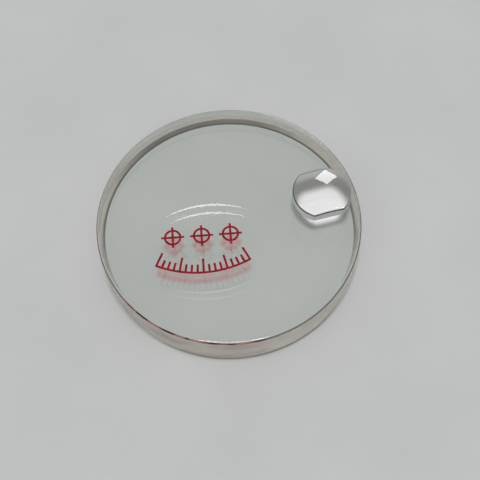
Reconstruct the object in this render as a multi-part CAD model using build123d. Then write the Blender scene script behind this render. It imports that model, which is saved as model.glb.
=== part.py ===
from build123d import *
import math
import os

# A watch crystal: a thick flat round plate of clear crystal, with a domed date lens bonded to its
# upper face near the rim, and a red ink print on that face which is wiped off when the crystal is
# fitted. Lengths are millimetres and angles are degrees. The underside lies on z = 0, the plate's
# axis is Z, and the date lens lies on +X, at three o'clock.

# Plate
PLATE_DIAMETER = 31.5
PLATE_THICKNESS = 5.0
UPPER_BEVEL = 0.25
UNDERSIDE_BEVEL_WIDTH = 0.7
UNDERSIDE_BEVEL_HEIGHT = 0.45

# Date lens: a round domed lens with a strip cut off each of two sides, parallel to X
DATE_LENS_LENGTH = 7.0
DATE_LENS_SIDE_CUT = 0.5
DATE_LENS_EDGE_HEIGHT = 1.1
DATE_LENS_DOME_RADIUS = 12.0
DATE_LENS_BEVEL = 0.12
DATE_LENS_TO_RIM = 0.75

# Cured adhesive film between the plate and the lens
ADHESIVE_THICKNESS = 0.05
ADHESIVE_SETBACK = 0.08

# Ink print: where its middle lies, as shares of the plate's radius, and how far it is turned
PRINT_ACROSS_SHARE = -0.232
PRINT_UP_SHARE = -0.086
PRINT_TURN = -10.6
INK_THICKNESS = 0.03
INK_LINE_WIDTH = 0.26

# Upper row of the print: register marks, each a ring under a cross
REGISTER_MARK_COUNT = 3
REGISTER_MARK_PITCH = 3.4
REGISTER_CROSS_SPAN = 2.7
REGISTER_RING_DIAMETER = 1.8

# Lower row of the print: a scale of ticks that stand on an arc
SCALE_RADIUS = 12.5
SCALE_DROP = 4.9
SCALE_HALF_SPAN = 5.5
SCALE_GAPS = 16
SCALE_GAPS_PER_LONG_TICK = 4
SCALE_LONG_TICK = 1.9
SCALE_SHORT_TICK = 1.15


def plate_radius():
    return PLATE_DIAMETER / 2


def lens_seat_height():
    return PLATE_THICKNESS + ADHESIVE_THICKNESS


def lens_place(height):
    """Where the date lens's own axis meets the given height."""
    reach = plate_radius() - DATE_LENS_TO_RIM - DATE_LENS_LENGTH / 2
    return Pos(reach, 0, height)


def lens_outline(setback):
    """The lens seen from above: a circle with two sides cut straight, drawn in by the setback."""
    radius = DATE_LENS_LENGTH / 2 - setback
    strip = Rectangle(2 * radius, 2 * (radius - DATE_LENS_SIDE_CUT))
    return Circle(radius) & strip


def print_place():
    across = plate_radius() * PRINT_ACROSS_SHARE
    up = plate_radius() * PRINT_UP_SHARE
    return Pos(across, up, PLATE_THICKNESS) * Rot(0, 0, PRINT_TURN)


def crystal_plate():
    """Turned from its half section: flat faces, a straight wall and a bevel at each edge."""
    radius = plate_radius()
    section = Polyline(
        (0, 0),
        (radius - UNDERSIDE_BEVEL_WIDTH, 0),
        (radius, UNDERSIDE_BEVEL_HEIGHT),
        (radius, PLATE_THICKNESS - UPPER_BEVEL),
        (radius - UPPER_BEVEL, PLATE_THICKNESS),
        (0, PLATE_THICKNESS),
        close=True,
    )
    return revolve(Plane.XZ * make_face(section), Axis.Z)


def date_lens():
    """A plate of the lens's outline under a spherical dome, with a fine bevel round the top."""
    radius = DATE_LENS_LENGTH / 2
    dome_depth = math.sqrt(DATE_LENS_DOME_RADIUS**2 - radius**2)
    dome_rise = DATE_LENS_DOME_RADIUS - dome_depth
    blank = extrude(lens_outline(0), DATE_LENS_EDGE_HEIGHT + dome_rise)
    ball = Pos(0, 0, DATE_LENS_EDGE_HEIGHT - dome_depth) * Sphere(DATE_LENS_DOME_RADIUS)
    body = blank & ball
    dome = body.faces().sort_by(Axis.Z)[-1]
    body = chamfer(dome.edges(), DATE_LENS_BEVEL)
    return lens_place(lens_seat_height()) * body


def adhesive_film():
    film = extrude(lens_outline(ADHESIVE_SETBACK), ADHESIVE_THICKNESS)
    return lens_place(PLATE_THICKNESS) * film


def register_mark(index):
    """A ring under an upright cross, in one film of ink."""
    ring = Circle((REGISTER_RING_DIAMETER + INK_LINE_WIDTH) / 2)
    ring -= Circle((REGISTER_RING_DIAMETER - INK_LINE_WIDTH) / 2)
    cross = Rectangle(REGISTER_CROSS_SPAN, INK_LINE_WIDTH)
    cross += Rectangle(INK_LINE_WIDTH, REGISTER_CROSS_SPAN)
    steps_from_middle = index - (REGISTER_MARK_COUNT - 1) / 2
    place = Pos(steps_from_middle * REGISTER_MARK_PITCH, 0, 0)
    return print_place() * place * extrude(ring + cross, INK_THICKNESS)


def scale_half_angle():
    return math.degrees(math.asin(SCALE_HALF_SPAN / SCALE_RADIUS))


def scale_line():
    """The band of ink along the scale's arc, with square ends."""
    start = -90 - scale_half_angle()
    turn = 2 * scale_half_angle()
    outer = CenterArc((0, 0), SCALE_RADIUS, start, turn)
    inner = CenterArc((0, 0), SCALE_RADIUS - INK_LINE_WIDTH, start, turn)
    first_end = Line(outer @ 0, inner @ 0)
    last_end = Line(inner @ 1, outer @ 1)
    return make_face([outer, last_end, inner, first_end])


def scale_tick(index):
    """One tick, from the outer edge of the line in towards the scale's centre."""
    is_long = index % SCALE_GAPS_PER_LONG_TICK == 0
    length = SCALE_LONG_TICK if is_long else SCALE_SHORT_TICK
    angle = scale_half_angle() * (2 * index / SCALE_GAPS - 1)
    return Rot(0, 0, angle) * Pos(0, length / 2 - SCALE_RADIUS, 0) * Rectangle(INK_LINE_WIDTH, length)


def arc_scale():
    """The arc and all its ticks, in one film of ink."""
    sketch = scale_line()
    for index in range(SCALE_GAPS + 1):
        sketch += scale_tick(index)
    place = Pos(0, SCALE_RADIUS - SCALE_DROP, 0)
    return print_place() * place * extrude(sketch, INK_THICKNESS)


def all_nodes():
    nodes = {
        "crystal_plate": crystal_plate(),
        "date_lens": date_lens(),
        "lens_adhesive_film": adhesive_film(),
        "arc_scale_print": arc_scale(),
    }
    for index in range(REGISTER_MARK_COUNT):
        nodes[f"register_mark_{index + 1}"] = register_mark(index)
    return nodes


os.makedirs("parts", exist_ok=True)
for node, solid in all_nodes().items():
    export_step(solid, f"parts/{node}.step")
    print(node, "volume", round(solid.volume, 4))
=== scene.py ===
import math

import bpy
import numpy as np
from bpy.props import FloatProperty, FloatVectorProperty, IntProperty, PointerProperty
from mathutils import Matrix, Quaternion, Vector


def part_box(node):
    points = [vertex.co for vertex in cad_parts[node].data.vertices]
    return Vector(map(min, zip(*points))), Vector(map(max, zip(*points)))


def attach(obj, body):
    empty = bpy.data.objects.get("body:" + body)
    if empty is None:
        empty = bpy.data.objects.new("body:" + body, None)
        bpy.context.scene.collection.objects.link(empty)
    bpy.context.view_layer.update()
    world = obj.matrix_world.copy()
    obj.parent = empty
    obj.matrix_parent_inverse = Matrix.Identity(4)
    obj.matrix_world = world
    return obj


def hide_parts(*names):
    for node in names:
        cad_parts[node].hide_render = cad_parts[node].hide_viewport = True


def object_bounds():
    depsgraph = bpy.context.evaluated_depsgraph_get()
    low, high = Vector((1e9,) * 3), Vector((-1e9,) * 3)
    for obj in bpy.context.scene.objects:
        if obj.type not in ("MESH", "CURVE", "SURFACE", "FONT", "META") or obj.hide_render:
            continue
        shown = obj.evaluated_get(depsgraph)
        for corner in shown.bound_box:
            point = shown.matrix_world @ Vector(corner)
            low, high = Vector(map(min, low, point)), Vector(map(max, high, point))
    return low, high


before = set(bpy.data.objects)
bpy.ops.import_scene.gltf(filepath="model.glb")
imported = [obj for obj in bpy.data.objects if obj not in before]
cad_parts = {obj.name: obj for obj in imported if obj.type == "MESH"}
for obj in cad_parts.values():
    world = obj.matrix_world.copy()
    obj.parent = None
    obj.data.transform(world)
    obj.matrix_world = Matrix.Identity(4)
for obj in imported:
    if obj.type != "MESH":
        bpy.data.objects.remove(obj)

bl_info = {
    "name": "Watch crystal with date lens",
    "version": (1, 0, 0),
    "blender": (4, 5, 0),
    "location": "View3D > Sidebar > Watch Crystal",
    "description": "Dresses a watch crystal: polished plate, date lens, adhesive film, ink print and stage",
    "category": "Object",
}

MM = 0.001
INK_NODES = ["arc_scale_print", "register_mark_1", "register_mark_2", "register_mark_3"]

# The polished plate and lens have these materials in this order
POLISHED, GROUND, NARROW_BEVEL = range(3)
# How far from its height a bonded face still counts as bonded
JOINT_REACH = 0.01 * MM
# Points along each round end of the lens, and along each corner and each straight side
LENS_ARC_STEPS, LENS_SIDE_STEPS = 49, 9
# The near left of the upper bevel, where a painted reflection of the print in the rim lies: its middle and
# half its width in degrees, how softly it ends, and the cells of noise a radian that make its painted dashes
DASH_MIDDLE, DASH_REACH, DASH_FADE, DASH_DENSITY = -121, 30, 5, 9.0
# The softbox behind, which the lens mirrors: its direction and roll in degrees, its distance and size
SOFTBOX_DIRECTION, SOFTBOX_ROLL = (16.3, 40.8), -26
SOFTBOX_DISTANCE, SOFTBOX_SIZE = 0.6, (0.147, 0.18)
# The strip in front, which the near edge mirrors: its direction, its distance and its size
STRIP_DIRECTION, STRIP_DISTANCE, STRIP_SIZE = (180, 48), 0.03, (28 * MM, 8 * MM)
# The two thin arcs that the plate mirrors: the middle of their oval, the point of the plate that it
# faces, its half width and half height, the radius of their tubes, and each arc's start and end
ARC_MIDDLE, ARC_TARGET = (-6.35 * MM, 66.4 * MM, 148.6 * MM), (-2.43 * MM, -4.33 * MM)
ARC_OVAL, ARC_TUBE = (21.4 * MM, 13.2 * MM), 0.3 * MM
NEAR_ARC, FAR_ARC = (233, 306), (45, 125)
# Colours of the surroundings by height, from the horizon (0) to overhead (1)
SKY_STOPS = [(0.0, (0.72, 0.7, 0.66)), (0.45, (0.45, 0.44, 0.42)), (1.0, (0.62, 0.63, 0.64))]

cad_low, cad_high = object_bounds()
plate_low, plate_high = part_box("crystal_plate")
lens_low, lens_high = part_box("date_lens")
film_low, film_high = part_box("lens_adhesive_film")

PLATE_RADIUS = (plate_high.x - plate_low.x) / 2
PLATE_TOP = plate_high.z
LENS_CENTRE = (lens_low.x + lens_high.x) / 2
LENS_RADIUS = (lens_high.x - lens_low.x) / 2
LENS_HALF_WIDTH = (lens_high.y - lens_low.y) / 2
FILM_SETBACK = film_low.x - lens_low.x


def length_property(name, description, default):
    """A length that the sidebar shows in scene units."""
    look = {"precision": 5, "subtype": "DISTANCE", "unit": "LENGTH"}
    return FloatProperty(name=name, description=description, default=default, min=0, **look)


def number_property(name, description, default):
    return FloatProperty(name=name, description=description, default=default, min=0)


def share_property(name, description, default):
    """A share between none and all."""
    return FloatProperty(name=name, description=description, default=default, min=0, max=1, subtype="FACTOR")


def angle_property(name, description, degrees):
    return FloatProperty(name=name, description=description, default=math.radians(degrees), subtype="ANGLE")


def colour_property(name, description, default):
    look = {"min": 0, "max": 1, "subtype": "COLOR"}
    return FloatVectorProperty(name=name, description=description, default=default, **look)


class PlateSettings(bpy.types.PropertyGroup):
    upper_bevel: length_property("Upper bevel", "Width and height of the bevel at the upper face", 0.25 * MM)
    underside_bevel_width: length_property("Underside bevel width", "How far that bevel cuts in", 0.7 * MM)
    underside_bevel_height: length_property("Underside bevel height", "How far that bevel climbs", 0.45 * MM)
    edge_softness: length_property("Edge softness", "Radius of the edges of the underside bevel", 0.03 * MM)
    polished_share: share_property("Polished share", "Upper share of the upper bevel that is polished", 0.4)
    upper_softness: length_property("Upper softness", "Radius of the edges of the upper bevel", 0.2 * MM)
    ink_contact: length_property("Ink contact", "How far the plate reaches into the ink on it", 0.002 * MM)
    refraction: number_property("Refraction", "Refractive index of the crystal", 1.77)
    cast: colour_property("Cast", "Colour that the crystal gives to light", (0.985, 1.0, 0.98))
    lamp_cast: colour_property("Lamp cast", "Lamp light that each polished face lets by", (0.86, 0.88, 0.86))
    facets: IntProperty(name="Facets", description="Steps round the rim", default=720, min=24)


class RimSettings(bpy.types.PropertyGroup):
    wall_colour: colour_property("Wall", "Colour of the satin ground wall", (0.84, 0.77, 0.66))
    # Painted shade: the underside bevel is painted darker than the wall, for the dark floor under it that
    # shows through
    shaded_bevel_colour: colour_property("Bevel", "Colour of the underside bevel", (0.62, 0.58, 0.52))
    # Painted light: the underside bevel is painted lighter at the left and right, where light reaches under
    # it
    painted_side_light: colour_property("Side", "Colour of that bevel at the left and right", (0.85, 0.81, 0.74))
    side_start: share_property("Side start", "Share of the radius where left and right start", 0.45)
    side_end: share_property("Side end", "Share of the radius where their colour is full", 0.85)
    # Painted shade: the inner lip of the underside bevel is painted dark, for the shade where it meets the
    # floor
    painted_lip_shade: colour_property("Lip", "Colour of the inner lip of the underside bevel", (0.34, 0.32, 0.29))
    lip_height: length_property("Lip height", "How far up the underside bevel its lip climbs", 0.13 * MM)
    # Painted shade: the ground lower part of the upper bevel is painted nearly black, for the dark line along
    # the rim's edge
    painted_brow_shade: colour_property("Brow", "Colour of the ground part of the upper bevel", (0.15, 0.14, 0.12))
    # Painted reflection: at the near left that part is painted with dark dashes on light red, for the ink
    # that the rim mirrors
    painted_reflection_dash: colour_property("Dashes", "Its colour where it mirrors ink", (0.03, 0.0, 0.003))
    painted_reflection_gap: colour_property("Dash gaps", "Its colour between those dashes", (0.38, 0.15, 0.145))
    lamp_cast: colour_property("Lamp cast", "Lamp light that the rim lets by", (0.03, 0.03, 0.03))
    side_cast: colour_property("Side cast", "The same at the left and right, over the lip", (0.9, 0.88, 0.84))
    roughness: share_property("Roughness", "Roughness of the ground rim", 0.2)
    clearness: share_property("Clearness", "Share of light that crosses the rim", 0.92)
    line_height: length_property("Line height", "Height of the grinding lines round the rim", 0.08 * MM)


class LensSettings(bpy.types.PropertyGroup):
    edge_height: length_property("Edge height", "Height of the wall at the round ends", 1.1 * MM)
    dome_radius: length_property("Dome radius", "Radius of the domed face", 12.0 * MM)
    bevel: length_property("Bevel", "Width of the fine bevel round the dome", 0.12 * MM)
    corner_radius: length_property("Corner radius", "Radius where a side meets a round end", 0.14 * MM)
    cast: colour_property("Cast", "Colour that the lens gives to light", (1.0, 0.985, 1.0))
    edge_colour: colour_property("Edge", "Colour of the ground wall", (0.93, 0.93, 0.92))
    # Painted shade: the fine bevel round the dome is painted nearly black, for the dark line round the lens
    shaded_bevel_colour: colour_property("Bevel colour", "Colour of the fine bevel", (0.05, 0.05, 0.05))
    # Painted light: that bevel is painted lighter towards the rim, where its dark line looks lighter
    outward_painted_light: colour_property("Outward colour", "Colour of that bevel near the rim", (0.3, 0.3, 0.29))
    # Painted shade: the ground wall and bevel are painted dark where they are seen from inside the lens
    inside_painted_shade: colour_property("Inside colour", "Colour of both from the inside", (0.05, 0.05, 0.05))
    edge_clearness: share_property("Edge clearness", "Share of light that crosses the wall", 0.15)
    gathered: number_property("Gathered", "Lamp light in the patch that the lens gathers", 3.1)
    gathered_share: share_property("Gathered share", "Width of the patch over that of the lens", 0.68)
    gathered_fade: length_property("Gathered fade", "Half the width of the patch's soft edge", 0.12 * MM)
    gathered_shift: FloatVectorProperty(
        name="Gathered shift", description="Patch from the lens axis", size=2, default=(0.0, -0.36 * MM)
    )
    gathered_cast: FloatVectorProperty(
        name="Gathered cast", description="Tint of the gathered light", default=(1.04, 1.0, 1.08), min=0
    )
    spilt: share_property("Spilt", "Lamp light round the gathered patch", 0.1)


class FilmSettings(bpy.types.PropertyGroup):
    edge_wander: length_property("Edge wander", "How far the edge of the cured film wanders in", 0.06 * MM)
    cast: colour_property("Cast", "Colour that the film gives to light", (0.97, 0.97, 0.94))


class InkSettings(bpy.types.PropertyGroup):
    thick_colour: colour_property("Thick ink", "Colour where the ink lies thick", (0.13, 0.002, 0.006))
    thin_colour: colour_property("Thin ink", "Colour where the ink lies thin", (0.32, 0.005, 0.02))
    lamp_cast: colour_property("Lamp cast", "Lamp light that each side of the ink lets by", (1.0, 0.12, 0.16))
    blotch_size: length_property("Blotch size", "Size of the thick and thin places", 0.35 * MM)


class StageSettings(bpy.types.PropertyGroup):
    azimuth: angle_property("Azimuth", "Turn of the view about the crystal", -11.8)
    elevation: angle_property("Elevation", "Height of the view above the floor", 62.0)
    roll: angle_property("Roll", "Roll of the camera", 1.8)
    distance: length_property("Distance", "From the camera to the middle of the upper face", 101.3 * MM)
    aim_right: length_property("Aim right", "How far right of the middle the camera aims", 1.18 * MM)
    aim_near: length_property("Aim near", "How far in front of the middle the camera aims", 2.93 * MM)
    focal_length: number_property("Focal length", "Camera lens in millimetres", 63.98)
    floor_colour: colour_property("Floor", "Colour of the pale floor", (0.5, 0.51, 0.51))
    floor_size: length_property("Floor size", "Side of the square floor", 2.0)
    floor_gap: length_property("Floor gap", "Air between the floor and the plate's underside", 0.02 * MM)
    lamp_power: number_property("Lamp power", "Watts of the overhead lamp", 1.5)
    lamp_size: length_property("Lamp size", "Width of the overhead lamp", 62 * MM)
    lamp_height: length_property("Lamp height", "Height of the overhead lamp", 500 * MM)
    lamp_lean: angle_property("Lamp lean", "Lean of the lamp to the viewer", 1.5)
    softbox_power: number_property("Softbox power", "Watts of the softbox behind", 0.55)
    arc_glow: number_property("Arc glow", "Strength of the brighter arc lamp", 5.0)
    strip_glow: number_property("Strip glow", "Strength of the strip lamp in front", 16.0)
    sky_strength: number_property("Sky strength", "Strength of the soft surroundings", 0.8)


def rounded_profile(corners, radii, steps, ease):
    """The line through the corners, with each inner corner replaced by an arc of its own radius.

    The arc touches both runs at radius * tan(turn / 2) from the corner. A point stands ease beyond each
    end of the arc, which keeps the flat faces beside it flat under smooth shading.
    """
    line = [corners[0]]
    for before, corner, after, radius in zip(corners[:-2], corners[1:-1], corners[2:], radii):
        before, corner, after = np.array(before), np.array(corner), np.array(after)
        back = (before - corner) / np.linalg.norm(before - corner)
        on = (after - corner) / np.linalg.norm(after - corner)
        half_inner = math.acos(float(back @ on)) / 2
        reach = radius / math.tan(half_inner)
        middle = corner + (back + on) / np.linalg.norm(back + on) * radius / math.sin(half_inner)
        start, end = corner + back * reach, corner + on * reach
        line.append(start + back * ease)
        for share in np.linspace(0, 1, steps):
            spoke = (start - middle) * (1 - share) + (end - middle) * share
            line.append(middle + spoke / np.linalg.norm(spoke) * radius)
        line.append(end + on * ease)
    line.append(corners[-1])
    return np.array(line)


def grid_faces(rows, columns):
    """Quads between rows of points that each close on themselves, as one array of four indices a face."""
    row, column = np.meshgrid(np.arange(rows - 1), np.arange(columns), indexing="ij")
    following = (column + 1) % columns
    here, above = row * columns, (row + 1) * columns
    quads = np.stack([here + column, here + following, above + following, above + column], axis=-1)
    return quads.reshape(-1, 4)


def closed_rows(rings, low_pole, high_pole):
    """A closed shell from rings of points, stacked from the low pole to the high one.

    rings has the shape (rows, columns, 3). Quads join each ring to the next, and triangles join the
    first and last rings to the poles.
    """
    rows, columns = rings.shape[:2]
    points = np.concatenate([rings.reshape(-1, 3), [low_pole], [high_pole]])
    column = np.arange(columns)
    following = (column + 1) % columns
    low, high = rows * columns, rows * columns + 1
    last = (rows - 1) * columns
    low_fan = np.stack([np.full(columns, low), following, column], axis=-1)
    high_fan = np.stack([np.full(columns, high), last + column, last + following], axis=-1)
    return points, grid_faces(rows, columns), np.concatenate([low_fan, high_fan])


def mesh_piece(name, points, quads, triangles, material, sharp_angle):
    """A piece from arrays of points and faces, smooth but for edges that turn by more than sharp_angle."""
    mesh = bpy.data.meshes.new(name)
    mesh.vertices.add(len(points))
    mesh.vertices.foreach_set("co", np.asarray(points, np.float32).ravel())
    corners = np.concatenate([quads.ravel(), triangles.ravel()])
    sizes = np.concatenate([np.full(len(quads), 4), np.full(len(triangles), 3)])
    starts = np.concatenate([[0], np.cumsum(sizes)[:-1]])
    mesh.loops.add(len(corners))
    mesh.loops.foreach_set("vertex_index", corners.astype(np.int32))
    mesh.polygons.add(len(sizes))
    mesh.polygons.foreach_set("loop_start", starts.astype(np.int32))
    mesh.update(calc_edges=True)
    mesh.validate()
    mesh.polygons.foreach_set("use_smooth", np.ones(len(sizes), bool))
    if sharp_angle:
        mesh.set_sharp_from_angle(angle=sharp_angle)
    mesh.materials.append(material)
    piece = bpy.data.objects.new(name, mesh)
    bpy.context.scene.collection.objects.link(piece)
    return piece


def new_group(name, inputs, outputs):
    """A shader node group with float or colour sockets, and its tree's input and output nodes."""
    group = bpy.data.node_groups.new(name, "ShaderNodeTree")
    for socket, kind, value in inputs:
        made = group.interface.new_socket(name=socket, in_out="INPUT", socket_type=kind)
        made.default_value = value
    for socket, kind in outputs:
        group.interface.new_socket(name=socket, in_out="OUTPUT", socket_type=kind)
    return group, group.nodes.new("NodeGroupInput"), group.nodes.new("NodeGroupOutput")


def math_node(tree, operation, first, second=None):
    """A Math node; each operand is a socket or a number."""
    node = tree.nodes.new("ShaderNodeMath")
    node.operation = operation
    for slot, value in ((0, first), (1, second)):
        if isinstance(value, bpy.types.NodeSocket):
            tree.links.new(value, node.inputs[slot])
        elif value is not None:
            node.inputs[slot].default_value = value
    return node.outputs[0]


def object_coordinates(tree):
    return tree.nodes.new("ShaderNodeTexCoord").outputs["Object"]


def coordinate_parts(tree):
    """The x, y and z of a piece's own coordinates."""
    split = tree.nodes.new("ShaderNodeSeparateXYZ")
    tree.links.new(object_coordinates(tree), split.inputs[0])
    return split.outputs["X"], split.outputs["Y"], split.outputs["Z"]


def distance(tree, x, y):
    """The root of x squared plus y squared."""
    squares = math_node(tree, "ADD", math_node(tree, "MULTIPLY", x, x), math_node(tree, "MULTIPLY", y, y))
    return math_node(tree, "SQRT", squares)


def two_colours(tree, factor, first, second):
    """The first colour where the factor is 0, and the second where it is 1."""
    mix = tree.nodes.new("ShaderNodeMix")
    mix.data_type = "RGBA"
    tree.links.new(factor, mix.inputs["Factor"])
    for socket, colour in (("A", first), ("B", second)):
        if isinstance(colour, bpy.types.NodeSocket):
            tree.links.new(colour, mix.inputs[socket])
        else:
            mix.inputs[socket].default_value = (*colour, 1.0)
    return mix.outputs["Result"]


def noise(tree, vector, scale, detail):
    """A noise texture's value over the vector; scale is a socket or a number."""
    node = tree.nodes.new("ShaderNodeTexNoise")
    tree.links.new(vector, node.inputs["Vector"])
    if isinstance(scale, bpy.types.NodeSocket):
        tree.links.new(scale, node.inputs["Scale"])
    else:
        node.inputs["Scale"].default_value = scale
    node.inputs["Detail"].default_value = detail
    return node.outputs["Fac"]


def remap(tree, value, low, high, to_low, to_high):
    """Takes low..high to to_low..to_high, held at the ends."""
    node = tree.nodes.new("ShaderNodeMapRange")
    tree.links.new(value, node.inputs["Value"])
    for socket, number in (("From Min", low), ("From Max", high), ("To Min", to_low), ("To Max", to_high)):
        if isinstance(number, bpy.types.NodeSocket):
            tree.links.new(number, node.inputs[socket])
        else:
            node.inputs[socket].default_value = number
    return node.outputs["Result"]


def polish_marks_group():
    """Wipe marks and hairline scratches on a polished face.

    Broad noise gives the smears that raise the roughness a little. Noise stretched a hundredfold along
    one direction, cut at its crest, gives hairlines, which also dent the surface.
    """
    inputs = [
        ("Roughness", "NodeSocketFloat", 0.0),
        ("Smear", "NodeSocketFloat", 0.02),
        ("Hairline", "NodeSocketFloat", 0.05),
        ("Size", "NodeSocketFloat", 400.0),
    ]
    outputs = [("Roughness", "NodeSocketFloat"), ("Height", "NodeSocketFloat")]
    group, given, out = new_group("polish_marks", inputs, outputs)
    coordinates = object_coordinates(group)
    smear = remap(group, noise(group, coordinates, given.outputs["Size"], 4.0), 0.52, 0.75, 0.0, 1.0)
    turned = group.nodes.new("ShaderNodeMapping")
    turned.inputs["Rotation"].default_value = (0.0, 0.0, 0.9)
    turned.inputs["Scale"].default_value = (60.0, 6000.0, 60.0)
    group.links.new(coordinates, turned.inputs["Vector"])
    crest = noise(group, turned.outputs["Vector"], 1.0, 1.0)
    hairline = remap(group, crest, 0.72, 0.76, 0.0, 1.0)
    smeared = math_node(group, "MULTIPLY", smear, given.outputs["Smear"])
    scratched = math_node(group, "MULTIPLY", hairline, given.outputs["Hairline"])
    total = math_node(group, "ADD", math_node(group, "ADD", smeared, scratched), given.outputs["Roughness"])
    group.links.new(total, out.inputs["Roughness"])
    group.links.new(math_node(group, "SUBTRACT", 1.0, hairline), out.inputs["Height"])
    return group


def bonded_area_group():
    """Alpha of a face that another face is bonded to: 0 inside the lens outline at one height, 1 elsewhere.

    Inside means within Radius of the lens axis, within Half Width of the X axis and within Reach of
    Height. Light crosses such a joint unbent, because the cured adhesive fills it.
    """
    inputs = [
        ("Centre", "NodeSocketFloat", 0.0),
        ("Radius", "NodeSocketFloat", 0.0),
        ("Half Width", "NodeSocketFloat", 0.0),
        ("Height", "NodeSocketFloat", 0.0),
        ("Reach", "NodeSocketFloat", 0.0),
    ]
    group, given, out = new_group("bonded_area", inputs, [("Alpha", "NodeSocketFloat")])
    x, y, z = coordinate_parts(group)
    along = math_node(group, "SUBTRACT", x, given.outputs["Centre"])
    in_round = math_node(group, "LESS_THAN", distance(group, along, y), given.outputs["Radius"])
    in_strip = math_node(group, "LESS_THAN", math_node(group, "ABSOLUTE", y), given.outputs["Half Width"])
    rise = math_node(group, "ABSOLUTE", math_node(group, "SUBTRACT", z, given.outputs["Height"]))
    at_height = math_node(group, "LESS_THAN", rise, given.outputs["Reach"])
    inside = math_node(group, "MULTIPLY", math_node(group, "MULTIPLY", in_round, in_strip), at_height)
    group.links.new(math_node(group, "SUBTRACT", 1.0, inside), out.inputs["Alpha"])
    return group


def ink_film_group():
    """Colour, roughness and height of an ink film: blotches of thick and thin ink, and fine grain."""
    inputs = [
        ("Thick", "NodeSocketColor", (0.2, 0.0, 0.0, 1.0)),
        ("Thin", "NodeSocketColor", (0.4, 0.0, 0.0, 1.0)),
        ("Size", "NodeSocketFloat", 3000.0),
    ]
    outputs = [
        ("Color", "NodeSocketColor"),
        ("Roughness", "NodeSocketFloat"),
        ("Height", "NodeSocketFloat"),
    ]
    group, given, out = new_group("ink_film", inputs, outputs)
    coordinates = object_coordinates(group)
    blotch = remap(group, noise(group, coordinates, given.outputs["Size"], 3.0), 0.35, 0.65, 0.0, 1.0)
    colour = two_colours(group, blotch, given.outputs["Thick"], given.outputs["Thin"])
    group.links.new(colour, out.inputs["Color"])
    grain = noise(group, coordinates, math_node(group, "MULTIPLY", given.outputs["Size"], 7.0), 2.0)
    group.links.new(remap(group, grain, 0.3, 0.7, 0.35, 0.6), out.inputs["Roughness"])
    group.links.new(math_node(group, "ADD", grain, blotch), out.inputs["Height"])
    return group


def shared_group(name, build):
    """The node group of that name, built the first time it is asked for."""
    return bpy.data.node_groups.get(name) or build()


def place_group(tree, group, values):
    node = tree.nodes.new("ShaderNodeGroup")
    node.node_tree = group
    for socket, value in values.items():
        node.inputs[socket].default_value = value
    return node


def new_material(name):
    """A node material, its tree and its Principled shader."""
    material = bpy.data.materials.new(name)
    material.use_nodes = True
    return material, material.node_tree, material.node_tree.nodes["Principled BSDF"]


def let_lamps_through(tree, surface, cast):
    """Lamps reach what lies behind the surface: their rays meet a Transparent shader with this cast."""
    path = tree.nodes.new("ShaderNodeLightPath")
    clear = tree.nodes.new("ShaderNodeBsdfTransparent")
    if isinstance(cast, bpy.types.NodeSocket):
        tree.links.new(cast, clear.inputs["Color"])
    else:
        clear.inputs["Color"].default_value = (*cast, 1.0)
    mix = tree.nodes.new("ShaderNodeMixShader")
    tree.links.new(path.outputs["Is Shadow Ray"], mix.inputs[0])
    tree.links.new(surface.outputs[0], mix.inputs[1])
    tree.links.new(clear.outputs[0], mix.inputs[2])
    tree.links.new(mix.outputs[0], tree.nodes["Material Output"].inputs["Surface"])


def bump(tree, height, strength, distance, surface):
    node = tree.nodes.new("ShaderNodeBump")
    node.inputs["Strength"].default_value = strength
    node.inputs["Distance"].default_value = distance
    tree.links.new(height, node.inputs["Height"])
    tree.links.new(node.outputs["Normal"], surface.inputs["Normal"])


def polished_material(name, refraction, bonded_height):
    """Clear polished crystal with faint wipe marks, open where the bonded joint lies.

    The caller gives the tint and lets the lamps through, with the tree and the shader that come back.
    """
    material, tree, surface = new_material(name)
    surface.inputs["IOR"].default_value = refraction
    surface.inputs["Transmission Weight"].default_value = 1.0
    marks = place_group(
        tree,
        shared_group("polish_marks", polish_marks_group),
        {"Roughness": 0.0, "Smear": 0.012, "Hairline": 0.05, "Size": 160.0},
    )
    joint = place_group(
        tree,
        shared_group("bonded_area", bonded_area_group),
        {
            "Centre": LENS_CENTRE,
            "Radius": LENS_RADIUS - FILM_SETBACK,
            "Half Width": LENS_HALF_WIDTH - FILM_SETBACK,
            "Height": bonded_height,
            "Reach": JOINT_REACH,
        },
    )
    tree.links.new(joint.outputs["Alpha"], surface.inputs["Alpha"])
    tree.links.new(marks.outputs["Roughness"], surface.inputs["Roughness"])
    bump(tree, marks.outputs["Height"], 0.1, 0.002 * MM, surface)
    return material, tree, surface


def plate_material(settings, top):
    """Polished crystal, bonded to the lens at the plate's top."""
    material, tree, surface = polished_material("clear_crystal", settings.refraction, top)
    surface.inputs["Base Color"].default_value = (*settings.cast, 1.0)
    let_lamps_through(tree, surface, settings.lamp_cast)
    return material


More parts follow.
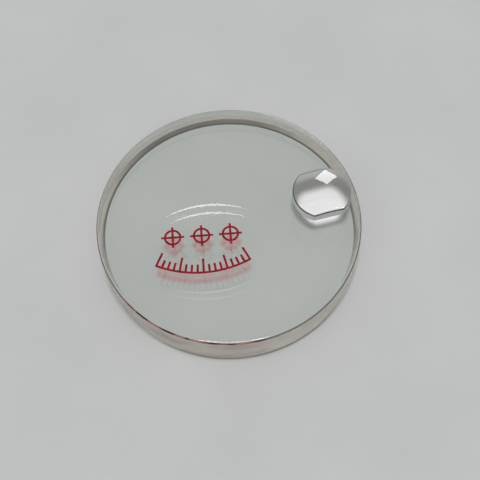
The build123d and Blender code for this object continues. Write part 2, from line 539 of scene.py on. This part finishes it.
def rim_material(settings, plate):
    """Satin ground crystal with fine lines that run round the rim.

    The underside bevel is painted darker, as painted shade of the dark floor under it, with an inner lip
    painted dark as painted shade where it meets the floor, and is painted lighter at the left and right as
    painted light, where it also lets more lamp light by.
    """
    material, tree, surface = new_material("satin_rim_painted_light_and_shade")
    surface.inputs["IOR"].default_value = plate.refraction
    surface.inputs["Transmission Weight"].default_value = settings.clearness
    x, y, z = coordinate_parts(tree)
    side_start, side_end = settings.side_start * PLATE_RADIUS, settings.side_end * PLATE_RADIUS
    # The left and right, where the bevel is painted lighter as painted light and also lets more lamp light by
    side = remap(tree, math_node(tree, "ABSOLUTE", x), side_start, side_end, 0.0, 1.0)
    over_lip = remap(tree, z, settings.lip_height * 0.7, settings.lip_height * 1.3, 0.0, 1.0)
    wrap = tree.nodes.new("ShaderNodeCombineXYZ")
    tree.links.new(math_node(tree, "MULTIPLY", math_node(tree, "ARCTAN2", y, x), 2.0), wrap.inputs["X"])
    tree.links.new(math_node(tree, "MULTIPLY", z, 1.0 / settings.line_height), wrap.inputs["Y"])
    lines = noise(tree, wrap.outputs[0], 1.0, 3.0)
    satin = remap(tree, lines, 0.3, 0.7, settings.roughness * 0.85, settings.roughness * 1.15)
    tree.links.new(satin, surface.inputs["Roughness"])
    # Painted shade: from the foot of the wall down, the underside bevel takes its darker painted colour
    foot = plate_low.z + plate.underside_bevel_height
    above_foot = remap(tree, z, foot - plate.edge_softness, foot + plate.edge_softness, 0.0, 1.0)
    shade = math_node(tree, "SUBTRACT", above_foot, remap(tree, lines, 0.3, 0.7, 0.0, 0.12))
    # Painted shade and light: the bevel's colour, darker than the wall and lighter at the left and right
    bevel = two_colours(tree, side, settings.shaded_bevel_colour, settings.painted_side_light)
    colour = two_colours(tree, shade, bevel, settings.wall_colour)
    # Painted shade: the dark inner lip
    colour = two_colours(tree, over_lip, settings.painted_lip_shade, colour)
    tree.links.new(colour, surface.inputs["Base Color"])
    bump(tree, lines, 0.2, 0.004 * MM, surface)
    passing = math_node(tree, "MULTIPLY", side, over_lip)
    let_lamps_through(tree, surface, two_colours(tree, passing, settings.lamp_cast, settings.side_cast))
    return material


def brow_material(settings, plate):
    """Ground lower part of the upper bevel, painted nearly black as painted shade, with a painted reflection
    of the ink at the near left: dark dashes on light red.
    """
    material, tree, surface = new_material("ground_brow_painted_shade_and_reflection")
    surface.inputs["IOR"].default_value = plate.refraction
    surface.inputs["Transmission Weight"].default_value = 0.1
    surface.inputs["Specular IOR Level"].default_value = 0.1
    surface.inputs["Roughness"].default_value = 0.5
    x, y, z = coordinate_parts(tree)
    # Painted reflection of the ink: dashes at the near left of the upper bevel
    turn = math_node(tree, "ARCTAN2", y, x)
    off_middle = math_node(tree, "ABSOLUTE", math_node(tree, "SUBTRACT", turn, math.radians(DASH_MIDDLE)))
    start, end = math.radians(DASH_REACH), math.radians(DASH_REACH + DASH_FADE)
    near_left = remap(tree, off_middle, start, end, 1.0, 0.0)
    wrap = tree.nodes.new("ShaderNodeCombineXYZ")
    tree.links.new(math_node(tree, "MULTIPLY", turn, DASH_DENSITY), wrap.inputs["X"])
    dashes = remap(tree, noise(tree, wrap.outputs[0], 1.0, 2.0), 0.47, 0.52, 0.0, 1.0)
    red = two_colours(tree, dashes, settings.painted_reflection_gap, settings.painted_reflection_dash)
    # Painted shade, with the painted reflection of the ink at the near left
    colour = two_colours(tree, near_left, settings.painted_brow_shade, red)
    tree.links.new(colour, surface.inputs["Base Color"])
    let_lamps_through(tree, surface, settings.lamp_cast)
    return material


def lens_material(settings, plate, bottom):
    """Polished crystal that gathers lamp light into a patch of its own outline.

    The dome passes lamp light times gathered inside its outline drawn in to gathered_share, and times
    spilt outside it. The underside passes it all.
    """
    material, tree, surface = polished_material("lens_crystal", plate.refraction, bottom)
    surface.inputs["Base Color"].default_value = (*settings.cast, 1.0)
    x, y, z = coordinate_parts(tree)
    along = math_node(tree, "SUBTRACT", x, LENS_CENTRE + settings.gathered_shift[0])
    across = math_node(tree, "SUBTRACT", y, settings.gathered_shift[1])
    patch_radius = LENS_RADIUS * settings.gathered_share
    patch_half_width = LENS_HALF_WIDTH * settings.gathered_share
    past_round = math_node(tree, "SUBTRACT", distance(tree, along, across), patch_radius)
    past_side = math_node(tree, "SUBTRACT", math_node(tree, "ABSOLUTE", across), patch_half_width)
    past = math_node(tree, "MAXIMUM", past_round, past_side)
    fade = settings.gathered_fade
    share = remap(tree, past, -fade, fade, settings.gathered, settings.spilt)
    under = math_node(tree, "LESS_THAN", z, bottom + JOINT_REACH)
    over = math_node(tree, "SUBTRACT", 1.0, under)
    light = math_node(tree, "ADD", math_node(tree, "MULTIPLY", share, over), under)
    cast = tree.nodes.new("ShaderNodeCombineColor")
    for channel, tint in zip(("Red", "Green", "Blue"), settings.gathered_cast):
        tree.links.new(math_node(tree, "MULTIPLY", light, tint), cast.inputs[channel])
    let_lamps_through(tree, surface, cast.outputs[0])
    return material


def lens_edge_material(name, colour, outward_painted_light, clearness, settings, plate):
    """Finely ground crystal of a clearness, in a colour that changes to another towards the rim, as painted
    light on the bevel, and painted dark where seen from inside, as painted shade.
    """
    material, tree, surface = new_material(name)
    surface.inputs["IOR"].default_value = plate.refraction
    surface.inputs["Transmission Weight"].default_value = clearness
    x, y, z = coordinate_parts(tree)
    # Painted light: the bevel's colour lightens towards the rim
    outward = remap(tree, x, LENS_CENTRE + LENS_RADIUS * 0.5, LENS_CENTRE + LENS_RADIUS * 0.9, 0.0, 1.0)
    colour = two_colours(tree, outward, colour, outward_painted_light)
    # Painted shade: dark where the face is seen from inside
    inside = tree.nodes.new("ShaderNodeNewGeometry").outputs["Backfacing"]
    colour = two_colours(tree, inside, colour, settings.inside_painted_shade)
    tree.links.new(colour, surface.inputs["Base Color"])
    grain = noise(tree, object_coordinates(tree), 9000.0, 2.0)
    tree.links.new(remap(tree, grain, 0.3, 0.7, 0.25, 0.4), surface.inputs["Roughness"])
    bump(tree, grain, 0.2, 0.003 * MM, surface)
    let_lamps_through(tree, surface, (settings.spilt,) * 3)
    return material


def film_material(cast):
    """Cured adhesive of the crystal's own index: it only tints what shows through it."""
    material, tree, surface = new_material("cured_adhesive")
    surface.inputs["IOR"].default_value = 1.0
    surface.inputs["Transmission Weight"].default_value = 1.0
    surface.inputs["Roughness"].default_value = 0.0
    surface.inputs["Base Color"].default_value = (*cast, 1.0)
    let_lamps_through(tree, surface, cast)
    return material


def ink_material(settings):
    """Red wipe-off ink, thick and thin in blotches, that lets a little lamp light through."""
    material, tree, surface = new_material("red_ink")
    film = place_group(
        tree,
        shared_group("ink_film", ink_film_group),
        {
            "Thick": (*settings.thick_colour, 1.0),
            "Thin": (*settings.thin_colour, 1.0),
            "Size": 1.0 / settings.blotch_size,
        },
    )
    tree.links.new(film.outputs["Color"], surface.inputs["Base Color"])
    tree.links.new(film.outputs["Roughness"], surface.inputs["Roughness"])
    bump(tree, film.outputs["Height"], 0.4, 0.01 * MM, surface)
    surface.inputs["Specular IOR Level"].default_value = 0.2
    let_lamps_through(tree, surface, settings.lamp_cast)
    return material


def floor_material(colour):
    """Pale matt board with a faint mottle and a fine tooth."""
    material, tree, surface = new_material("pale_floor")
    coordinates = object_coordinates(tree)
    mottle = remap(tree, noise(tree, coordinates, 60.0, 3.0), 0.3, 0.7, 0.97, 1.03)
    tint = tree.nodes.new("ShaderNodeMix")
    tint.data_type = "RGBA"
    tint.blend_type = "MULTIPLY"
    tint.inputs["Factor"].default_value = 1.0
    tint.inputs["A"].default_value = (*colour, 1.0)
    tree.links.new(mottle, tint.inputs["B"])
    tree.links.new(tint.outputs["Result"], surface.inputs["Base Color"])
    surface.inputs["Roughness"].default_value = 0.9
    surface.inputs["Specular IOR Level"].default_value = 0.1
    bump(tree, noise(tree, coordinates, 2500.0, 2.0), 0.15, 0.02 * MM, surface)
    return material


def dress(piece, slot, *nodes):
    """The piece stands for these nodes, which are hidden, and rides on the one body; slot is not used."""
    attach(piece, "root")
    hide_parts(*nodes)


class CRYSTAL_OT_plate(bpy.types.Operator):
    """Make the polished plate."""

    bl_idname = "watch_crystal.plate"
    bl_label = "Polished plate"

    def execute(self, context):
        s = context.scene.crystal_plate
        top = PLATE_TOP + s.ink_contact
        corners = [
            (PLATE_RADIUS / 3, plate_low.z),
            (PLATE_RADIUS - s.underside_bevel_width, plate_low.z),
            (PLATE_RADIUS, plate_low.z + s.underside_bevel_height),
            (PLATE_RADIUS, top - s.upper_bevel),
            (PLATE_RADIUS - s.upper_bevel, top),
            (PLATE_RADIUS / 3, top),
        ]
        radii = [s.edge_softness] * 2 + [s.upper_softness] * 2
        section = rounded_profile(corners, radii, 9, s.edge_softness / 3)
        polish_end = top - s.upper_bevel * s.polished_share
        on_bevel = (PLATE_RADIUS - s.upper_bevel * (1 - s.polished_share), polish_end)
        section = np.insert(section, np.searchsorted(section[:, 1], polish_end), on_bevel, axis=0)
        around = np.linspace(0, 2 * math.pi, s.facets, endpoint=False)
        rings = np.stack(
            [
                np.outer(section[:, 0], np.cos(around)),
                np.outer(section[:, 0], np.sin(around)),
                np.outer(section[:, 1], np.ones(s.facets)),
            ],
            axis=-1,
        )
        points, quads, triangles = closed_rows(rings, (0, 0, plate_low.z), (0, 0, top))
        piece = mesh_piece("polished_plate", points, quads, triangles, plate_material(s, top), 0)
        piece.data.materials.append(rim_material(context.scene.crystal_rim, s))
        piece.data.materials.append(brow_material(context.scene.crystal_rim, s))
        run = (section[1:] + section[:-1]) / 2
        ground = (run[:, 0] > PLATE_RADIUS - s.underside_bevel_width) & (run[:, 1] > plate_low.z)
        ground &= run[:, 1] < polish_end
        run_slots = np.where(ground, GROUND, POLISHED)
        run_slots[ground & (run[:, 1] > top - s.upper_bevel)] = NARROW_BEVEL
        slots = np.full(len(piece.data.polygons), POLISHED, np.int32)
        slots[: len(quads)] = np.repeat(run_slots, s.facets)
        piece.data.polygons.foreach_set("material_index", slots)
        dress(piece, "clear_crystal", "crystal_plate")
        return {"FINISHED"}


def lens_outline(inset, corner_radius):
    """The outline of the lens about its axis, drawn in by inset, counter-clockwise.

    It is a circle with two sides cut straight. A small arc of corner_radius, less the inset, joins each
    side to each round end: its middle lies corner_radius inside both.
    """
    radius, half_width = LENS_RADIUS - inset, LENS_HALF_WIDTH - inset
    corner = max(corner_radius - inset, corner_radius / 8)
    middle_y = half_width - corner
    middle_x = math.sqrt((radius - corner) ** 2 - middle_y**2)
    meet = math.atan2(middle_y, middle_x)
    end = np.linspace(-meet, meet, LENS_ARC_STEPS)
    end = np.stack([radius * np.cos(end), radius * np.sin(end)], axis=-1)
    bend = np.linspace(meet, math.pi / 2, LENS_SIDE_STEPS)[1:]
    bend = np.stack([middle_x + corner * np.cos(bend), middle_y + corner * np.sin(bend)], axis=-1)
    side = np.linspace(middle_x, -middle_x, LENS_SIDE_STEPS)[1:-1]
    side = np.stack([side, np.full(len(side), half_width)], axis=-1)
    far_bend = bend[::-1] * (-1, 1)
    half = np.concatenate([end, bend, side, far_bend])
    return np.concatenate([half, -half])


def at_height(outline, height):
    """Points of an outline about the lens axis, moved to the lens and set to a height."""
    height = np.broadcast_to(height, len(outline))
    return np.column_stack([outline[:, 0] + LENS_CENTRE, outline[:, 1], height])


class CRYSTAL_OT_lens(bpy.types.Operator):
    """Make the date lens."""

    bl_idname = "watch_crystal.lens"
    bl_label = "Date lens"

    def execute(self, context):
        s = context.scene.crystal_lens
        depth = math.sqrt(s.dome_radius**2 - LENS_RADIUS**2)

        def dome(outline):
            """Height of the sphere over each point of an outline."""
            reach = np.sum(outline**2, axis=1)
            return lens_low.z + s.edge_height - depth + np.sqrt(s.dome_radius**2 - reach)

        outer = lens_outline(0, s.corner_radius)
        inner = lens_outline(s.bevel, s.corner_radius)
        rows = [at_height(outer * share, lens_low.z) for share in np.linspace(0.1, 1, 8)]
        wall_start = (len(rows) - 1) * len(outer)
        bevel_start, dome_start = wall_start + len(outer), wall_start + 2 * len(outer)
        rows.append(at_height(outer, dome(outer) - s.bevel))
        rows += [at_height(inner * share, dome(inner * share)) for share in np.linspace(1, 0.04, 33)]
        low_pole = (LENS_CENTRE, 0, lens_low.z)
        high_pole = (LENS_CENTRE, 0, lens_low.z + s.edge_height - depth + s.dome_radius)
        points, quads, triangles = closed_rows(np.array(rows), low_pole, high_pole)
        material = lens_material(s, context.scene.crystal_plate, lens_low.z)
        piece = mesh_piece("polished_date_lens", points, quads, triangles, material, math.radians(20))
        plate = context.scene.crystal_plate
        wall = lens_edge_material("ground_edge_painted_inner_shade", s.edge_colour, s.edge_colour, s.edge_clearness, s, plate)
        # Painted shade: the fine bevel is painted nearly black, and lighter towards the rim as painted light
        bevel = lens_edge_material("ground_bevel_painted_light_and_shade", s.shaded_bevel_colour, s.outward_painted_light, 0.0, s, plate)
        piece.data.materials.append(wall)
        piece.data.materials.append(bevel)
        slots = np.full(len(piece.data.polygons), POLISHED, np.int32)
        slots[wall_start:bevel_start] = GROUND
        slots[bevel_start:dome_start] = NARROW_BEVEL
        piece.data.polygons.foreach_set("material_index", slots)
        dress(piece, "lens_crystal", "date_lens")
        return {"FINISHED"}


class CRYSTAL_OT_film(bpy.types.Operator):
    """Make the cured adhesive film under the date lens."""

    bl_idname = "watch_crystal.film"
    bl_label = "Adhesive film"

    def execute(self, context):
        s = context.scene.crystal_film
        edge = lens_outline(FILM_SETBACK, context.scene.crystal_lens.corner_radius)
        turn = np.arctan2(edge[:, 1], edge[:, 0])
        wander = (2 + np.sin(5 * turn + 0.6) + 0.6 * np.sin(11 * turn + 2.1)) / 4
        edge *= (1 - wander * s.edge_wander / LENS_RADIUS)[:, None]
        rows = [at_height(edge * share, film_low.z) for share in (0.4, 1)]
        rows += [at_height(edge * share, film_high.z) for share in (1, 0.4)]
        low_pole, high_pole = (LENS_CENTRE, 0, film_low.z), (LENS_CENTRE, 0, film_high.z)
        points, quads, triangles = closed_rows(np.array(rows), low_pole, high_pole)
        piece = mesh_piece("cured_film", points, quads, triangles, film_material(s.cast), math.radians(20))
        dress(piece, "clear_adhesive", "lens_adhesive_film")
        return {"FINISHED"}


class CRYSTAL_OT_ink(bpy.types.Operator):
    """Give the register marks and the arc scale their ink."""

    bl_idname = "watch_crystal.ink"
    bl_label = "Ink print"

    def execute(self, context):
        material = ink_material(context.scene.crystal_ink)
        for node in INK_NODES:
            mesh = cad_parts[node].data
            mesh.materials.clear()
            mesh.materials.append(material)
        return {"FINISHED"}


def aim(thing, place, target, roll=0.0):
    """Stands the lamp or camera at a place, looking at a target, rolled about its own axis."""
    thing.location = place
    thing.rotation_mode = "QUATERNION"
    look = (Vector(target) - Vector(place)).to_track_quat("-Z", "Y")
    thing.rotation_quaternion = look @ Quaternion((0, 0, 1), roll)


def direction(azimuth, elevation):
    """The unit vector to the right of straight ahead by azimuth and up by elevation, in degrees."""
    azimuth, elevation = math.radians(azimuth), math.radians(elevation)
    level = math.cos(elevation)
    return Vector((math.sin(azimuth) * level, math.cos(azimuth) * level, math.sin(elevation)))


def add_lamp(name, shape, sizes, power, place, target, roll=0.0):
    """A soft lamp of a shape and sizes, seen in reflections but not through the crystal."""
    lamp = bpy.data.lights.new(name, "AREA")
    lamp.shape = shape
    lamp.size, lamp.size_y = sizes
    lamp.energy = power
    stand = bpy.data.objects.new(name, lamp)
    bpy.context.scene.collection.objects.link(stand)
    stand.visible_transmission = False
    aim(stand, place, target, roll)
    return stand


def glow_material(name, glow, straight=False):
    """Plain white light of a strength, which isn't sampled as a lamp.

    Where straight is set, only the view's own first reflections show it.
    """
    material, tree, surface = new_material(name)
    tree.nodes.remove(surface)
    shine = tree.nodes.new("ShaderNodeEmission")
    shine.inputs["Strength"].default_value = glow
    if straight:
        depth = tree.nodes.new("ShaderNodeLightPath").outputs["Ray Depth"]
        first = math_node(tree, "LESS_THAN", depth, 1.5)
        tree.links.new(math_node(tree, "MULTIPLY", first, glow), shine.inputs["Strength"])
    tree.links.new(shine.outputs[0], tree.nodes["Material Output"].inputs["Surface"])
    material.cycles.emission_sampling = "NONE"
    return material


def flat_sheet(name, corners, material):
    """One face through four corners."""
    mesh = bpy.data.meshes.new(name)
    mesh.from_pydata(corners, [], [(0, 1, 2, 3)])
    mesh.materials.append(material)
    sheet = bpy.data.objects.new(name, mesh)
    bpy.context.scene.collection.objects.link(sheet)
    return sheet


def arc_lamp(name, middle, towards, width, height, start, end, material):
    """A thin glowing tube along part of an oval round a middle that faces a direction.

    At the turn a its middle line is middle + side * width * cos a + up * height * sin a. Its radius is
    ARC_TUBE * sin(pi * share) at a share of its length, so it runs to a point at each end.
    """
    side = towards.cross(Vector((0, 0, 1))).normalized()
    up = side.cross(towards)
    share = np.linspace(0, 1, 66)[1:-1]
    along = math.radians(start) + share * math.radians(end - start)
    a, b = np.meshgrid(along, np.arange(6) * math.pi / 3, indexing="ij")
    radius = ARC_TUBE * np.sin(math.pi * share)[:, None]
    rings = (
        np.array(middle)
        + ((width + radius * np.cos(b)) * np.cos(a))[..., None] * np.array(side)
        + ((height + radius * np.cos(b)) * np.sin(a))[..., None] * np.array(up)
        + (radius * np.sin(b))[..., None] * np.array(towards)
    )
    ends = [
        middle + side * width * math.cos(math.radians(turn)) + up * height * math.sin(math.radians(turn))
        for turn in (start, end)
    ]
    points, quads, triangles = closed_rows(rings, *ends)
    lamp = mesh_piece(name, points, quads, triangles, material, 0)
    lamp.visible_camera = False
    lamp.visible_shadow = False


def strip_lamp(name, place, target, width, height, material):
    """A glowing level strip at a place that faces a target, seen only in reflections."""
    look = (target - place).normalized()
    side = look.cross(Vector((0, 0, 1))).normalized() * width / 2
    up = side.cross(look).normalized() * height / 2
    corners = [place - side - up, place + side - up, place + side + up, place - side + up]
    lamp = flat_sheet(name, corners, material)
    lamp.visible_camera = False
    lamp.visible_diffuse = False
    lamp.visible_transmission = False
    lamp.visible_shadow = False


def soft_sky(strength):
    """Surroundings in the colours of SKY_STOPS, which are darkest about half way up."""
    world = bpy.data.worlds.new("soft_sky")
    bpy.context.scene.world = world
    world.use_nodes = True
    world.cycles.sampling_method = "NONE"
    tree = world.node_tree
    split = tree.nodes.new("ShaderNodeSeparateXYZ")
    tree.links.new(tree.nodes.new("ShaderNodeTexCoord").outputs["Generated"], split.inputs[0])
    ramp = tree.nodes.new("ShaderNodeValToRGB")
    tree.links.new(split.outputs["Z"], ramp.inputs["Fac"])
    stops = ramp.color_ramp.elements
    stops.new(0.5)
    for index, (height, colour) in enumerate(SKY_STOPS):
        stops[index].position = height
        stops[index].color = (*colour, 1.0)
    sky = tree.nodes["Background"]
    tree.links.new(ramp.outputs["Color"], sky.inputs["Color"])
    sky.inputs["Strength"].default_value = strength


class CRYSTAL_OT_stage(bpy.types.Operator):
    """Make the floor, the lamps, the surroundings and the camera."""

    bl_idname = "watch_crystal.stage"
    bl_label = "Stage"

    def execute(self, context):
        s = context.scene.crystal_stage
        half = s.floor_size / 2
        floor_z = cad_low.z - s.floor_gap
        corners = [(x * half, y * half, floor_z) for x, y in ((-1, -1), (1, -1), (1, 1), (-1, 1))]
        flat_sheet("floor", corners, floor_material(s.floor_colour))

        soft_sky(s.sky_strength)
        turn = Matrix.Rotation(s.azimuth, 4, "Z")
        middle = Vector((0, 0, PLATE_TOP))
        overhead = turn @ Vector((0, -s.lamp_height * math.tan(s.lamp_lean), s.lamp_height))
        lamp = add_lamp("overhead_lamp", "DISK", (s.lamp_size, s.lamp_size), s.lamp_power, overhead, middle)
        lamp.visible_glossy = False
        rim_front = turn @ Vector((0, -PLATE_RADIUS, PLATE_TOP))
        before = rim_front + turn @ direction(*STRIP_DIRECTION) * STRIP_DISTANCE
        strip_glow = glow_material("strip_glow", s.strip_glow, straight=True)
        strip_lamp("strip_lamp", before, rim_front, *STRIP_SIZE, strip_glow)
        behind = turn @ (middle + direction(*SOFTBOX_DIRECTION) * SOFTBOX_DISTANCE)
        roll = math.radians(SOFTBOX_ROLL)
        softbox = add_lamp("softbox", "RECTANGLE", SOFTBOX_SIZE, s.softbox_power, behind, middle, roll)
        softbox.visible_diffuse = False
        place = turn @ Vector(ARC_MIDDLE)
        facing = (turn @ Vector((*ARC_TARGET, PLATE_TOP)) - place).normalized()
        arc_lamp("near_arc", place, facing, *ARC_OVAL, *NEAR_ARC, glow_material("arc_glow", s.arc_glow))
        arc_lamp("far_arc", place, facing, *ARC_OVAL, *FAR_ARC, glow_material("faint_glow", s.arc_glow / 4))

        view = bpy.data.cameras.new("view")
        view.lens = s.focal_length
        view.sensor_width = 36
        view.clip_start = s.distance / 100
        camera = bpy.data.objects.new("view", view)
        context.scene.collection.objects.link(camera)
        back = Vector((0, -math.cos(s.elevation), math.sin(s.elevation)))
        target = middle + Vector((s.aim_right, -s.aim_near, 0))
        aim(camera, turn @ (middle + back * s.distance), turn @ target, -s.roll)
        context.scene.camera = camera
        context.scene.view_settings.view_transform = "Standard"
        paths = context.scene.cycles
        paths.max_bounces = 24
        paths.glossy_bounces = 16
        paths.transmission_bounces = 16
        paths.transparent_max_bounces = 24
        paths.blur_glossy = 0.0
        paths.caustics_reflective = False
        return {"FINISHED"}


class CRYSTAL_PT_panel(bpy.types.Panel):
    bl_label = "Watch crystal"
    bl_idname = "CRYSTAL_PT_panel"
    bl_space_type = "VIEW_3D"
    bl_region_type = "UI"
    bl_category = "Watch Crystal"

    def draw(self, context):
        for names, operator in SECTIONS:
            box = self.layout.box()
            for name in names:
                group = getattr(context.scene, name)
                for setting in group.__annotations__:
                    box.prop(group, setting)
            box.operator(operator.bl_idname)


SETTINGS = [
    ("crystal_plate", PlateSettings),
    ("crystal_rim", RimSettings),
    ("crystal_lens", LensSettings),
    ("crystal_film", FilmSettings),
    ("crystal_ink", InkSettings),
    ("crystal_stage", StageSettings),
]
SECTIONS = [
    (["crystal_plate", "crystal_rim"], CRYSTAL_OT_plate),
    (["crystal_lens"], CRYSTAL_OT_lens),
    (["crystal_film"], CRYSTAL_OT_film),
    (["crystal_ink"], CRYSTAL_OT_ink),
    (["crystal_stage"], CRYSTAL_OT_stage),
]
OPERATORS = [operator for names, operator in SECTIONS]


def register():
    for name, settings in SETTINGS:
        bpy.utils.register_class(settings)
        setattr(bpy.types.Scene, name, PointerProperty(type=settings))
    for operator in OPERATORS:
        bpy.utils.register_class(operator)
    bpy.utils.register_class(CRYSTAL_PT_panel)


def unregister():
    bpy.utils.unregister_class(CRYSTAL_PT_panel)
    for operator in reversed(OPERATORS):
        bpy.utils.unregister_class(operator)
    for name, settings in reversed(SETTINGS):
        delattr(bpy.types.Scene, name)
        bpy.utils.unregister_class(settings)


def main():
    register()
    bpy.ops.watch_crystal.plate()
    bpy.ops.watch_crystal.lens()
    bpy.ops.watch_crystal.film()
    bpy.ops.watch_crystal.ink()
    bpy.ops.watch_crystal.stage()


if __name__ == "__main__":
    main()
